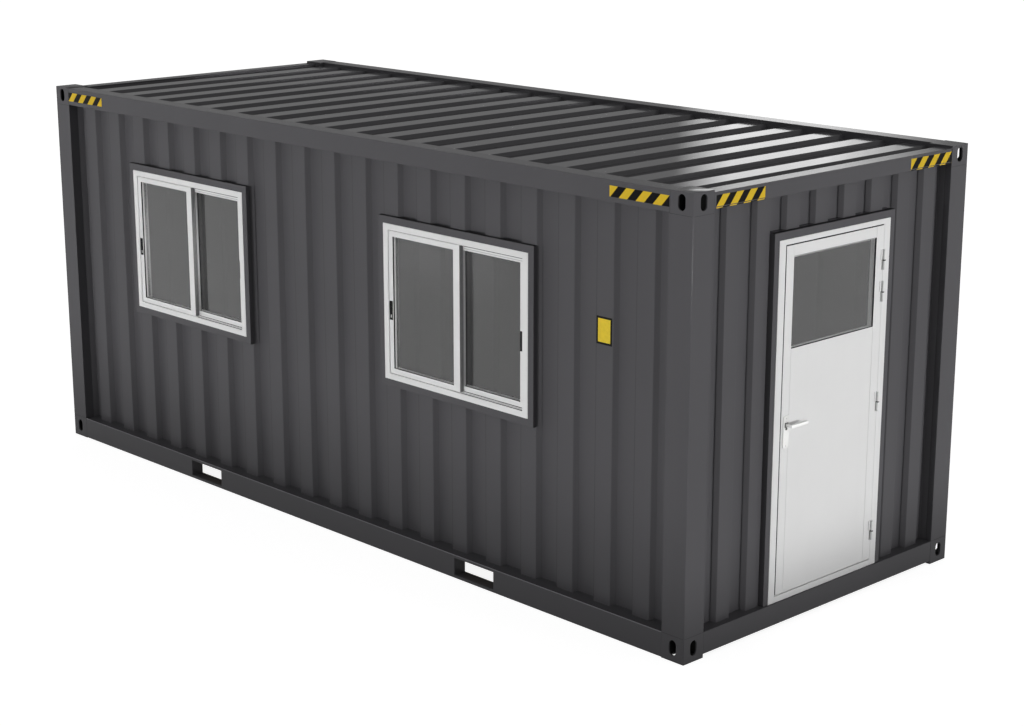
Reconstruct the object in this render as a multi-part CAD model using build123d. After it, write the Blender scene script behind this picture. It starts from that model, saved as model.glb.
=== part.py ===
"""Shipping container cabin: a steel frame with corrugated walls, two sliding windows and a door.

Millimetres. +X points out of the door end, -Y out of the window side and +Z up, with the
origin at ground level under the middle of the frame.
"""
import os
from math import atan2, tan

from build123d import *

os.makedirs("parts", exist_ok=True)

# Frame over the corner fittings
length = 6058.0
width = 2438.0
height = 2591.0
corner_round = 6.0
overrun = 30.0
seat_clearance = 0.3

# Corner fittings: hollow castings with a slot in each outer side and an oval under the bottom ones
fitting_side = 162.0
top_fitting_height = 124.0
bottom_fitting_height = 150.0
fitting_wall = 10.0
fitting_plate = 13.0
slot_width = 51.0
slot_height = 88.0
top_slot_drop = 58.0
bottom_slot_rise = 80.0
oval_length = 124.0
oval_width = 64.0

# Corner posts
post_wall = 6.0

# Top rails and end headers
top_rail_height = 118.0
top_rail_width = 120.0
top_rail_drop = 2.0
header_height = 80.0
header_depth = 100.0
header_drop = 14.0
header_setback = 2.0
header_lip_height = 9.0
header_lip_depth = 12.0
top_tube_wall = 5.0

# Bottom rails and end sills
rail_base = 3.0
rail_top = 150.0
rail_plate = 6.0
rail_flange = 125.0
rail_foot = 88.0
sill_base = 21.0
sill_depth = 100.0

# Fork pockets, cross members and floor
pocket_offset = 1356.0
pocket_width = 341.0
pocket_height = 109.0
pocket_base = 22.0
pocket_wall = 6.0
pocket_depth = 88.0
pocket_clearance = 160.0
cross_height = 122.0
cross_flange = 45.0
cross_plate = 4.5
cross_pitch = 270.0
floor_thickness = 28.0

# Corrugated side walls
sheet_thickness = 2.0
side_setback = 68.0
side_pitch = 297.2
side_flat = 131.0
side_run = 3.0
side_depth = 46.0
side_shift = -31.0

# Corrugated end walls
end_setback = 42.0
end_pitch = 250.4
end_flat = 111.0
end_run = 3.0
end_depth = 42.0
end_shift = 26.0

# Corrugated roof
roof_drop = 24.0
roof_pitch = 304.7
roof_flat = 138.0
roof_run = 12.0
roof_depth = 25.0

# Windows, each placed at a share of the clear length between the corners
window_place_shares = {"left": -0.2653, "right": 0.2006}
window_width = 1252.0
window_height = 967.0
window_head_drop = 384.0
window_proud = 30.0
window_depth = 84.0
jamb_face = 44.0
head_face = 37.0
track_height = 3.5
track_width = 5.0
surround_margin = 45.0
surround_sleeve = 20.0
surround_proud = 28.0

# Sliding sashes
sash_thickness = 29.0
sash_setback = 2.0
sash_spacing = 35.0
sash_gap = 3.5
stile_face = 37.0
rail_face = 34.0
meeting_face = 54.0
rear_meeting_face = 35.0
front_sash_reach = 53.0
pane_thickness = 5.0
pane_setback = 19.0
pane_groove = 9.0
latch_width = 27.0
latch_height = 118.0
latch_thickness = 3.0
latch_rim = 5.0
latch_recess = 2.0
latch_drop = 48.0
latch_slider_share = 0.32

# Door opening and frame
door_surround_width = 1076.0
door_surround_drop = 212.0
door_surround_head = 44.0
door_surround_proud = 31.0
door_frame_width = 994.0
door_frame_depth = 70.0
door_frame_proud = 33.0
door_jamb = 54.0
door_head = 30.0
threshold_height = 37.0
door_gap = 7.0
stop_lip = 15.0

# Door leaf and its pane
leaf_thickness = 44.0
leaf_seam_width = 2.5
leaf_seam_depth = 1.5
door_pane_width = 742.0
door_pane_height = 520.0
door_pane_drop = 63.0
door_pane_setback = 6.0
door_pane_thickness = 8.0

# Door hinges: lift-off pairs, the pin on the lower half
hinge_height = 120.0
hinge_shares = (0.0885, 0.483, 0.8085, 0.901)
barrel_radius = 7.0
barrel_stand_off = 8.5
pin_radius = 4.0
pin_length = 48.0
wing_width = 24.0
wing_thickness = 4.0

# Door handle
handle_plate_width = 46.0
handle_plate_height = 186.0
handle_plate_thickness = 8.0
handle_plate_base = 1057.0
handle_plate_inset = 15.0
handle_plate_round = 8.0
lever_rise = 1191.0
lever_length = 150.0
lever_height = 21.0
lever_thickness = 13.0
lever_stand_off = 42.0
spindle_radius = 9.0
lever_round = 4.0

# Levels and faces worked out from the sizes above
side_face = width / 2
end_face = length / 2
bay_length = length - 2 * fitting_side
bay_width = width - 2 * fitting_side
top_rail_top = height - top_rail_drop
top_rail_base = top_rail_top - top_rail_height
header_top = height - header_drop
header_base = header_top - header_height
header_face = end_face - header_setback
header_inner = header_face - header_depth
cross_top = rail_top - rail_plate
roof_crest = height - roof_drop
sheet_face = side_face - side_setback
end_sheet_face = end_face - end_setback
end_wall_back = end_sheet_face - end_depth - sheet_thickness
side_wall_back = sheet_face - side_depth - sheet_thickness


def block(x_span, y_span, z_span):
    """Box between two limits on each axis."""
    spans = (x_span, y_span, z_span)
    sizes = [high - low for low, high in spans]
    middle = [(low + high) / 2 for low, high in spans]
    return Pos(*middle) * Box(*sizes)


def about(middle, size):
    """Limits of a size centred on a place."""
    return (middle - size / 2, middle + size / 2)


def save(name, *solids):
    """Write one node from its solids."""
    shape = solids[0] if len(solids) == 1 else Compound(children=list(solids))
    export_step(shape, f"parts/{name}.step")


def at_four_corners(solid):
    """A solid of the door end's rear corner with its mirror images at the other corners."""
    across = mirror(solid, about=Plane.XZ)
    return [solid, across, mirror(solid, about=Plane.YZ), mirror(across, about=Plane.YZ)]


def round_outer_edge(solid):
    """Round the upright edge that is furthest out along +X and +Y."""
    uprights = solid.edges().filter_by(Axis.Z)
    outermost = max(uprights, key=lambda edge: edge.center().X + edge.center().Y)
    return fillet(outermost, radius=corner_round)


def corner_column(z_span):
    """Square corner block of the frame between two heights."""
    return block((end_face - fitting_side, end_face), (side_face - fitting_side, side_face), z_span)


# Corner fittings
def corner_fitting(z_low, z_high, slot_level):
    """One hollow casting at the door end's rear corner."""
    middle_x = end_face - fitting_side / 2
    middle_y = side_face - fitting_side / 2
    body = round_outer_edge(corner_column((z_low, z_high)))
    inner = fitting_side - 2 * fitting_wall
    body -= block(
        about(middle_x, inner),
        about(middle_y, inner),
        (z_low + fitting_plate, z_high - fitting_plate),
    )
    slot = SlotOverall(slot_height, slot_width, rotation=90)
    side_plane = Plane((middle_x, side_face + overrun, slot_level), x_dir=(1, 0, 0), z_dir=(0, -1, 0))
    end_plane = Plane((end_face + overrun, middle_y, slot_level), x_dir=(0, 1, 0), z_dir=(-1, 0, 0))
    reach = overrun + fitting_wall
    body -= extrude(side_plane * slot, amount=reach)
    body -= extrude(end_plane * slot, amount=reach)
    return body


top_fitting = corner_fitting(height - top_fitting_height, height, height - top_slot_drop)
bottom_fitting = corner_fitting(0, bottom_fitting_height, bottom_slot_rise)
oval_plane = Plane((end_face - fitting_side / 2, side_face - fitting_side / 2, 0))
bottom_fitting -= extrude(oval_plane * SlotOverall(oval_length, oval_width), amount=fitting_plate)

# Corner posts
post_span = (bottom_fitting_height, height - top_fitting_height)
post = round_outer_edge(corner_column(post_span))
post -= block(
    (end_face - fitting_side + post_wall, end_face - post_wall),
    (side_face - fitting_side + post_wall, side_face - post_wall),
    post_span,
)
post_names = ("door_end_rear_post", "door_end_front_post", "blind_end_rear_post", "blind_end_front_post")

# Top side rails: rectangular tubes between the top fittings
rail_length = about(0, bay_length)
top_rail = block(rail_length, (side_face - top_rail_width, side_face), (top_rail_base, top_rail_top))
top_rail -= block(
    rail_length,
    (side_face - top_rail_width + top_tube_wall, side_face - top_tube_wall),
    (top_rail_base + top_tube_wall, top_rail_top - top_tube_wall),
)

# End headers: tubes with a drip lip below the outer face
header_span = about(0, bay_width)
header = block((header_inner, header_face), header_span, (header_base, header_top))
header -= block(
    (header_inner + top_tube_wall, header_face - top_tube_wall),
    header_span,
    (header_base + top_tube_wall, header_top - top_tube_wall),
)
header += block(
    (header_face - header_lip_depth, header_face),
    header_span,
    (header_base - header_lip_height, header_base),
)

# Bottom side rails: channels open to the inside, with a narrower foot, cut out for the fork pockets
bottom_rail = block(rail_length, (side_face - rail_flange, side_face), (rail_base, rail_top))
bottom_rail -= block(
    rail_length,
    (side_face - rail_flange, side_face - rail_plate),
    (rail_base + rail_plate, rail_top - rail_plate),
)
bottom_rail -= block(
    rail_length,
    (side_face - rail_flange, side_face - rail_foot),
    (rail_base, rail_base + rail_plate),
)
pocket_level = (pocket_base, pocket_base + pocket_height)
for side in (-1, 1):
    bottom_rail -= block(
        about(side * pocket_offset, pocket_width),
        (side_face - rail_plate, side_face),
        pocket_level,
    )

# End sills: tubes between the bottom fittings
sill = block((end_face - sill_depth, end_face), header_span, (sill_base, rail_top))
sill -= block(
    (end_face - sill_depth + rail_plate, end_face - rail_plate),
    header_span,
    (sill_base + rail_plate, rail_top - rail_plate),
)

# Fork pockets: short sleeves behind the webs of the side rails
sleeve_y = (side_face - pocket_depth, side_face - rail_plate)
sleeve = block(
    about(pocket_offset, pocket_width + 2 * pocket_wall),
    sleeve_y,
    (pocket_base - pocket_wall, pocket_base + pocket_height + pocket_wall),
)
sleeve -= block(about(pocket_offset, pocket_width), sleeve_y, pocket_level)
pockets = at_four_corners(sleeve)

# Cross members: channels in the bays beside and between the pockets
web_to_web = about(0, width - 2 * rail_plate)
pocket_half = pocket_width / 2 + pocket_clearance
bay_limits = (
    (-end_face + sill_depth, -pocket_offset - pocket_half),
    (-pocket_offset + pocket_half, pocket_offset - pocket_half),
    (pocket_offset + pocket_half, end_face - sill_depth),
)
cross_members = []
for bay_start, bay_end in bay_limits:
    count = max(1, int((bay_end - bay_start) // cross_pitch))
    spacing = (bay_end - bay_start) / count
    for number in range(count):
        centre = bay_start + spacing * (number + 0.5)
        member = block(about(centre, cross_flange), web_to_web, (cross_top - cross_height, cross_top))
        member -= block(
            (centre - cross_flange / 2 + cross_plate, centre + cross_flange / 2),
            web_to_web,
            (cross_top - cross_height + cross_plate, cross_top - cross_plate),
        )
        cross_members.append(member)

# Floor: plywood between the rails and sills, notched round the corner posts
floor = block(
    about(0, length - 2 * sill_depth),
    about(0, width - 2 * rail_flange),
    (cross_top, cross_top + floor_thickness),
)
for column in at_four_corners(corner_column((0, height))):
    floor -= column


# Corrugated sheets
def corrugated(span, rise, pitch, flat, run, depth, shift):
    """Sheet with its ribs along Z: x along the wall, y inwards from the face of the outer flats.

    Each end has an upstand from the inner flat to the level of the outer flats.
    """
    count = int(span // pitch)
    offset = sheet_thickness * tan(atan2(depth, run) / 2)
    corners = ((-1, run, depth), (-1, 0, 0), (1, 0, 0), (1, run, depth))
    edge = span / 2 - sheet_thickness
    outer = [(-span / 2, 0), (-edge, 0), (-edge, depth)]
    inner = [(-span / 2, depth + sheet_thickness)]
    for number in range(count):
        centre = pitch * (number - (count - 1) / 2) + shift
        for side, step, level in corners:
            reach = flat / 2 + step
            outer.append((centre + side * reach, level))
            inner.append((centre + side * (reach - offset), level + sheet_thickness))
    outer += [(edge, depth), (edge, 0), (span / 2, 0)]
    inner.append((span / 2, depth + sheet_thickness))
    section = make_face(Polyline(*outer, *reversed(inner), close=True))
    return extrude(section, amount=rise, dir=(0, 0, 1))


side_sheet = corrugated(
    bay_length, top_rail_base - rail_top, side_pitch, side_flat, side_run, side_depth, side_shift
)
end_sheet = corrugated(
    bay_width, header_base - rail_top, end_pitch, end_flat, end_run, end_depth, end_shift
)
front_wall = Pos(0, -sheet_face, rail_top) * side_sheet
rear_wall = Rot(0, 0, 180) * front_wall
door_wall = Pos(end_sheet_face, 0, rail_top) * Rot(0, 0, 90) * end_sheet
blind_wall = Rot(0, 0, 180) * door_wall

# Roof: ribs across, let in below the rails and headers and notched round the corner fittings
roof_width = width - 2 * top_rail_width
roof_sheet = corrugated(2 * header_inner, roof_width, roof_pitch, roof_flat, roof_run, roof_depth, 0)
roof = Pos(0, -roof_width / 2, roof_crest) * Rot(-90, 0, 0) * roof_sheet
for column in at_four_corners(corner_column((0, height))):
    roof -= column

# Front wall, split beside, over and under the windows
window_middle = top_rail_base - window_head_drop - window_height / 2
hole_width = window_width + 2 * surround_sleeve
hole_height = window_height + 2 * surround_sleeve
hole_levels = about(window_middle, hole_height)
window_centres = {name: share * bay_length for name, share in window_place_shares.items()}
left_hole = about(window_centres["left"], hole_width)
right_hole = about(window_centres["right"], hole_width)
wall_levels = (rail_top, top_rail_base)
wall_depth = (-side_face, -side_face + fitting_side)


def front_panel(x_span, z_span):
    """Stretch of the front wall between two limits along it and two heights."""
    return front_wall & block(x_span, wall_depth, z_span)


front_panels = {
    "left": front_panel((-bay_length / 2, left_hole[0]), wall_levels),
    "middle": front_panel((left_hole[1], right_hole[0]), wall_levels),
    "right": front_panel((right_hole[1], bay_length / 2), wall_levels),
}
holes = (left_hole, right_hole)
over_windows = [front_panel(hole, (hole_levels[1], top_rail_base)) for hole in holes]
under_windows = [front_panel(hole, (rail_top, hole_levels[0])) for hole in holes]


# Windows
def ring(outer_x, outer_z, inner_x, inner_z, y_span):
    """Rectangular frame facing -Y."""
    return block(outer_x, y_span, outer_z) - block(inner_x, y_span, inner_z)


def glazed_sash(x_span, z_span, y_front, left_face, right_face):
    """Sash with its pane: the pane's edges sit in a groove of the stiles and rails."""
    y_span = (y_front, y_front + sash_thickness)
    open_x = (x_span[0] + left_face, x_span[1] - right_face)
    open_z = (z_span[0] + rail_face, z_span[1] - rail_face)
    pane_y = (y_front + pane_setback, y_front + pane_setback + pane_thickness)
    pane = block(
        (open_x[0] - pane_groove, open_x[1] + pane_groove),
        pane_y,
        (open_z[0] - pane_groove, open_z[1] + pane_groove),
    )
    return ring(x_span, z_span, open_x, open_z, y_span) - pane, pane


def sash_latch(centre_x, y_back):
    """Pull plate with a recess over a slider."""
    latch_rise = window_middle - latch_drop
    plate = block(
        about(centre_x, latch_width),
        (y_back - latch_thickness, y_back),
        about(latch_rise, latch_height),
    )
    slider_top = latch_rise - latch_height / 2 + latch_slider_share * latch_height
    recess_x = about(centre_x, latch_width - 2 * latch_rim)
    recess_y = (y_back - latch_thickness, y_back - latch_thickness + latch_recess)
    plate -= block(recess_x, recess_y, (slider_top, latch_rise + latch_height / 2 - latch_rim))
    plate -= block(
        recess_x,
        recess_y,
        (latch_rise - latch_height / 2 + latch_rim, slider_top - latch_rim),
    )
    return plate


latches = []
for name, centre in window_centres.items():
    frame_x = about(centre, window_width)
    frame_z = about(window_middle, window_height)
    open_x = (frame_x[0] + jamb_face, frame_x[1] - jamb_face)
    open_z = (frame_z[0] + head_face, frame_z[1] - head_face)
    frame_front = -sheet_face - window_proud

    # Steel surround: a flange on the outer flats and a sleeve through the wall's cut-out
    flange_x = about(centre, window_width + 2 * surround_margin)
    flange_z = about(window_middle, window_height + 2 * surround_margin)
    flange_y = (-sheet_face - surround_proud, -sheet_face)
    sleeve_x = about(centre, hole_width)
    surround = ring(flange_x, flange_z, frame_x, frame_z, flange_y)
    surround += ring(sleeve_x, hole_levels, frame_x, frame_z, (-sheet_face, -side_wall_back))
    save(f"window_{name}_surround", surround)

    # Outer frame with a raised track under each sash
    frame = ring(frame_x, frame_z, open_x, open_z, (frame_front, frame_front + window_depth))
    sash_fronts = (frame_front + sash_setback, frame_front + sash_setback + sash_spacing)
    for sash_front in sash_fronts:
        track_y = about(sash_front + sash_thickness / 2, track_width)
        frame += block(open_x, track_y, (open_z[0], open_z[0] + track_height))
    save(f"window_{name}_frame", frame)

    # Front sash on the left, rear sash on the right, their meeting stiles in line
    sash_z = (open_z[0] + track_height, open_z[1] - sash_gap)
    meeting_edge = centre + front_sash_reach
    front_x = (open_x[0] + sash_gap, meeting_edge)
    rear_x = (meeting_edge - meeting_face, open_x[1] - sash_gap)
    front_sash, front_pane = glazed_sash(front_x, sash_z, sash_fronts[0], stile_face, meeting_face)
    rear_sash, rear_pane = glazed_sash(rear_x, sash_z, sash_fronts[1], rear_meeting_face, stile_face)
    save(f"window_{name}_front_sash", front_sash)
    save(f"window_{name}_rear_sash", rear_sash)
    save(f"window_{name}_panes", front_pane, rear_pane)
    latches.append(sash_latch(front_x[0] + stile_face / 2, sash_fronts[0]))
    latches.append(sash_latch(rear_x[1] - stile_face / 2, sash_fronts[1]))

# Door end wall, split beside and over the doorway
door_surround_top = header_base - door_surround_drop
door_frame_top = door_surround_top - door_surround_head
door_hole = about(0, door_surround_width)
end_depth_span = (end_wall_back - overrun, end_face)
end_levels = (rail_top, header_base)
door_wall_front = door_wall & block(end_depth_span, (-bay_width / 2, door_hole[0]), end_levels)
door_wall_rear = door_wall & block(end_depth_span, (door_hole[1], bay_width / 2), end_levels)
door_wall_over = door_wall & block(end_depth_span, door_hole, (door_surround_top, header_base))

# Door surround: a steel portal in the wall's cut-out
surround_x = (end_wall_back, end_sheet_face + door_surround_proud)
frame_y = about(0, door_frame_width)
door_surround = block(surround_x, door_hole, (rail_top, door_surround_top))
door_surround -= block(surround_x, frame_y, (rail_top, door_frame_top))

# Door frame with a rebate that the leaf closes into
frame_front_x = end_sheet_face + door_frame_proud
frame_x = (frame_front_x - door_frame_depth, frame_front_x)
clear_y = (frame_y[0] + door_jamb, frame_y[1] - door_jamb)
clear_z = (rail_top + threshold_height, door_frame_top - door_head)
leaf_back = frame_front_x - leaf_thickness
stop_x = (frame_front_x - door_frame_depth, leaf_back - door_gap)
door_frame = block(frame_x, frame_y, (rail_top, door_frame_top))
door_frame -= block((stop_x[1], frame_front_x), clear_y, clear_z)
door_frame -= block(
    stop_x,
    (clear_y[0] + stop_lip, clear_y[1] - stop_lip),
    (clear_z[0], clear_z[1] - stop_lip),
)

# Door leaf: slab with a glazed opening and a fine seam beside each stile
leaf_x = (leaf_back, frame_front_x)
leaf_y = (clear_y[0] + door_gap, clear_y[1] - door_gap)
leaf_z = (clear_z[0] + door_gap, clear_z[1] - door_gap)
pane_y = about(0, door_pane_width)
pane_z = (leaf_z[1] - door_pane_drop - door_pane_height, leaf_z[1] - door_pane_drop)
pane_x = (
    frame_front_x - door_pane_setback - door_pane_thickness,
    frame_front_x - door_pane_setback,
)
door_pane = block(
    pane_x,
    (pane_y[0] - pane_groove, pane_y[1] + pane_groove),
    (pane_z[0] - pane_groove, pane_z[1] + pane_groove),
)
door_leaf = block(leaf_x, leaf_y, leaf_z) - block(leaf_x, pane_y, pane_z) - door_pane
for stile_edge in pane_y:
    for seam_z in ((leaf_z[0], pane_z[0]), (pane_z[1], leaf_z[1])):
        door_leaf -= block(
            (frame_front_x - leaf_seam_depth, frame_front_x),
            about(stile_edge, leaf_seam_width),
            seam_z,
        )

# Door handle: a plate and a lever on each face, on one spindle
handle_y = leaf_y[0] + handle_plate_inset + handle_plate_width / 2
handle_plates = []


def along_spindle(radius, x_span):
    """Cylinder on the spindle's axis between two limits."""
    plane = Plane((x_span[0], handle_y, lever_rise), x_dir=(0, 1, 0), z_dir=(1, 0, 0))
    return extrude(plane * Circle(radius), amount=x_span[1] - x_span[0])


bore_radius = spindle_radius + seat_clearance
plate_middle = handle_plate_base + handle_plate_height / 2
lever = along_spindle(
    spindle_radius, (leaf_back - lever_stand_off, frame_front_x + lever_stand_off)
)
for face, outward in ((frame_front_x, 1), (leaf_back, -1)):
    plate_x = sorted((face, face + outward * handle_plate_thickness))
    plate_plane = Plane((plate_x[0], handle_y, plate_middle), x_dir=(0, 1, 0), z_dir=(1, 0, 0))
    plate_sketch = RectangleRounded(handle_plate_width, handle_plate_height, handle_plate_round)
    plate = extrude(plate_plane * plate_sketch, amount=handle_plate_thickness)
    handle_plates.append(plate - along_spindle(bore_radius, plate_x))

    # Lever bar, rounded at both ends, from the spindle towards the hinges
    bar_x = sorted((face + outward * lever_stand_off, face + outward * (lever_stand_off + lever_thickness)))
    bar_middle = handle_y + lever_length / 2 - lever_height / 2
    bar_plane = Plane((bar_x[0], bar_middle, lever_rise), x_dir=(0, 1, 0), z_dir=(1, 0, 0))
    bar = extrude(bar_plane * SlotOverall(lever_length, lever_height), amount=lever_thickness)
    lever += fillet(bar.edges().filter_by(Plane.YZ), radius=lever_round)
door_leaf -= along_spindle(bore_radius, leaf_x)

# Door hinges on the rear edge of the leaf
hinge_x = frame_front_x + barrel_stand_off
hinge_y = (leaf_y[1] + clear_y[1]) / 2
wing_x = (frame_front_x, frame_front_x + wing_thickness)


def barrel(radius, z_span):
    """Cylinder on the hinge axis between two heights."""
    return extrude(Plane((hinge_x, hinge_y, z_span[0])) * Circle(radius), amount=z_span[1] - z_span[0])


frame_halves = []
leaf_halves = []
for share in hinge_shares:
    split = leaf_z[0] + share * (leaf_z[1] - leaf_z[0])
    lower = (split - hinge_height / 2, split)
    upper = (split + seat_clearance, split + hinge_height / 2)
    frame_half = barrel(barrel_radius, lower) + barrel(pin_radius, (split, split + pin_length))
    frame_half += block(wing_x, (hinge_y, hinge_y + wing_width), lower)
    leaf_half = barrel(barrel_radius, upper) + block(wing_x, (hinge_y - wing_width, hinge_y), upper)
    leaf_half -= barrel(pin_radius + seat_clearance, (split, split + pin_length + seat_clearance))
    frame_halves.append(frame_half)
    leaf_halves.append(leaf_half)

# Nodes of the frame, the floor and the roof
save("top_corner_fittings", *at_four_corners(top_fitting))
save("bottom_corner_fittings", *at_four_corners(bottom_fitting))
for name, solid in zip(post_names, at_four_corners(post)):
    save(name, solid)
save("rear_top_rail", top_rail)
save("front_top_rail", mirror(top_rail, about=Plane.XZ))
save("rear_bottom_rail", bottom_rail)
save("front_bottom_rail", mirror(bottom_rail, about=Plane.XZ))
save("door_end_header", header)
save("blind_end_header", mirror(header, about=Plane.YZ))
save("door_end_sill", sill)
save("blind_end_sill", mirror(sill, about=Plane.YZ))
save("fork_pockets", *pockets)
save("cross_members", *cross_members)
save("floor", floor)
save("roof_panel", roof)

# Nodes of the walls
for name, panel in front_panels.items():
    save(f"front_wall_{name}", panel)
save("front_wall_over_windows", *over_windows)
save("front_wall_under_windows", *under_windows)
save("rear_wall", rear_wall)
save("blind_end_wall", blind_wall)
save("door_wall_front", door_wall_front)
save("door_wall_rear", door_wall_rear)
save("door_wall_over", door_wall_over)
save("window_latches", *latches)

# Nodes of the door
save("door_surround", door_surround)
save("door_frame", door_frame)
save("door_leaf", door_leaf)
save("door_pane", door_pane)
save("door_handle_plates", *handle_plates)
save("door_lever", lever)
save("door_hinge_frame_halves", *frame_halves)
save("door_hinge_leaf_halves", *leaf_halves)
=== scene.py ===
"""Looks of the container cabin: finishes, bent sheets, stripes, seals, screws, light and camera."""

import logging
import math
from dataclasses import dataclass, field
from enum import Enum
from typing import Any, Callable, Iterable, Sequence

import bmesh
import bpy
from mathutils import Matrix, Vector


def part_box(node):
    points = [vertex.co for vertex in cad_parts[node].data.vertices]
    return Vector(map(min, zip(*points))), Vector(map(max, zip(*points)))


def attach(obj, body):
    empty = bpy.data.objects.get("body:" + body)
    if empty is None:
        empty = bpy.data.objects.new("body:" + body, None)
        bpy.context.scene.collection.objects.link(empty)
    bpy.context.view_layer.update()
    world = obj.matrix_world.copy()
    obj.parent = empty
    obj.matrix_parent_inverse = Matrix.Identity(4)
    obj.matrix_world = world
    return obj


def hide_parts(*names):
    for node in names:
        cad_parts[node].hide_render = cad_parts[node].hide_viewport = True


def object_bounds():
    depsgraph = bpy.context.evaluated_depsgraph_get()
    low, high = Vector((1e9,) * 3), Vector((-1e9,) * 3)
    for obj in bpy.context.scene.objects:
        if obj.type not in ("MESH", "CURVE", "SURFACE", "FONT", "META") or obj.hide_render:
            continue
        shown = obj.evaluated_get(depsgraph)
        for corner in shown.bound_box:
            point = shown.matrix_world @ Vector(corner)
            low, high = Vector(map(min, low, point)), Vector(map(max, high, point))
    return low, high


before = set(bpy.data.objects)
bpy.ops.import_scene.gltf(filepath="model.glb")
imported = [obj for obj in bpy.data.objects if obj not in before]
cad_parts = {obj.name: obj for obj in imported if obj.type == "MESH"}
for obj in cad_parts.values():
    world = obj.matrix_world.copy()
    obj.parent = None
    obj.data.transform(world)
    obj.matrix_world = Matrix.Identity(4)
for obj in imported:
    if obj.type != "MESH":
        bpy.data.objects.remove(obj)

LOG = logging.getLogger("cabin")
CAD_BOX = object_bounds()
HALF_X, HALF_Y = -CAD_BOX[0].x, -CAD_BOX[0].y
NODES: dict[str, bpy.types.Object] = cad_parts
Colour = tuple[float, float, float]
Span = tuple[float, float]
Material = bpy.types.Material
MERGE = 1e-6
FITTING = 0.162


class Slot(Enum):
    """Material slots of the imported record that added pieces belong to."""

    FRAME = "frame_steel"
    WALL = "wall_steel"
    WHITE = "white_joinery"
    PLASTIC = "latch_plastic"
    METAL = "handle_metal"


class Body(Enum):
    """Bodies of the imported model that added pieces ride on."""

    CABIN = "cabin"
    DOOR = "door"


class Face(Enum):
    """Faces that carry fittings, each with its own along, up and out directions."""

    WINDOW_SIDE = "window side"
    DOOR_END = "door end"

    def place(self, along: float, up: float, out: float) -> Vector:
        """Turn a place on this face into a point of the shared frame.

        Args:
            along: Distance along the face, X on the long side and Y on the end.
            up: Height above ground.
            out: Distance outwards from the middle of the cabin.

        Returns:
            The point in metres.
        """
        if self is Face.WINDOW_SIDE:
            return Vector((along, -out, up))
        return Vector((out, along, up))


class ShaderTree:
    """Node tree of one material or world, with short calls to add and join its nodes."""

    def __init__(self, name: str, world: bool = False) -> None:
        """Start an empty material, or world, of that name."""
        self.owner = (bpy.data.worlds if world else bpy.data.materials).new(name)
        self.owner.use_nodes = True
        self.tree = self.owner.node_tree
        self.tree.nodes.clear()
        self.output = self.add("OutputWorld" if world else "OutputMaterial")
        self.coordinates = self.add("TexCoord").outputs["Object"]

    def add(self, kind: str, inputs: dict[Any, Any] | None = None, **settings: Any) -> bpy.types.Node:
        """Add a shader node.

        Args:
            kind: Node type without its ShaderNode prefix.
            inputs: Values or output sockets for the node's inputs.
            **settings: Properties of the node itself.

        Returns:
            The new node.
        """
        node = self.tree.nodes.new("ShaderNode" + kind)
        for key, value in settings.items():
            setattr(node, key, value)
        for key, value in (inputs or {}).items():
            if isinstance(value, bpy.types.NodeSocket):
                self.tree.links.new(value, node.inputs[key])
            else:
                node.inputs[key].default_value = value
        return node

    def noise(self, scale: float, stretch: Colour = (1, 1, 1), detail: float = 3, rough: float = 0.55) -> Any:
        """Noise between 0 and 1 on Object coordinates, stretched by axis."""
        mapped = self.add("Mapping", {"Vector": self.coordinates, "Scale": stretch})
        return self.add(
            "TexNoise",
            {"Vector": mapped.outputs[0], "Scale": scale, "Detail": detail, "Roughness": rough},
        ).outputs[0]

    def span(self, value: Any, low: float, high: float, start: float, end: float) -> Any:
        """Map a value from one range to another and clamp it."""
        sockets = {"Value": value, "From Min": low, "From Max": high, "To Min": start, "To Max": end}
        return self.add("MapRange", sockets).outputs[0]

    def blend(self, factor: Any, first: Any, second: Any) -> Any:
        """Mix two colours, each a colour or a socket."""
        node = self.add("Mix", data_type="RGBA")
        for index, value in ((0, factor), (6, first), (7, second)):
            if isinstance(value, bpy.types.NodeSocket):
                self.tree.links.new(value, node.inputs[index])
            elif index:
                node.inputs[index].default_value = (*value, 1)
            else:
                node.inputs[index].default_value = value
        return node.outputs[2]

    def shades(self, factor: Any, colour: Colour, dark: float, pale: float) -> Any:
        """Mix a darker and a paler shade of one colour."""
        return self.blend(factor, tint(colour, dark), tint(colour, pale))

    def maths(self, operation: str, first: Any, second: Any = 0.0) -> Any:
        """Join two values with one operation of the Math node."""
        return self.add("Math", {0: first, 1: second}, operation=operation).outputs[0]

    def bump(self, height: Any, distance: float) -> Any:
        """Turn a height into a shading normal."""
        return self.add("Bump", {"Height": height, "Distance": distance, "Strength": 1.0}).outputs[0]

    def finish(self, inputs: dict[str, Any]) -> Material:
        """Close the tree with a Principled shader of those values and sockets."""
        return self.close(self.add("BsdfPrincipled", inputs))

    def close(self, shader: bpy.types.Node) -> Any:
        """Join the last shader to the output and hand over the material or world."""
        self.tree.links.new(shader.outputs[0], self.output.inputs[0])
        return self.owner


def tint(colour: Colour, factor: float) -> Colour:
    """Scale a colour."""
    return tuple(channel * factor for channel in colour)


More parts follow.
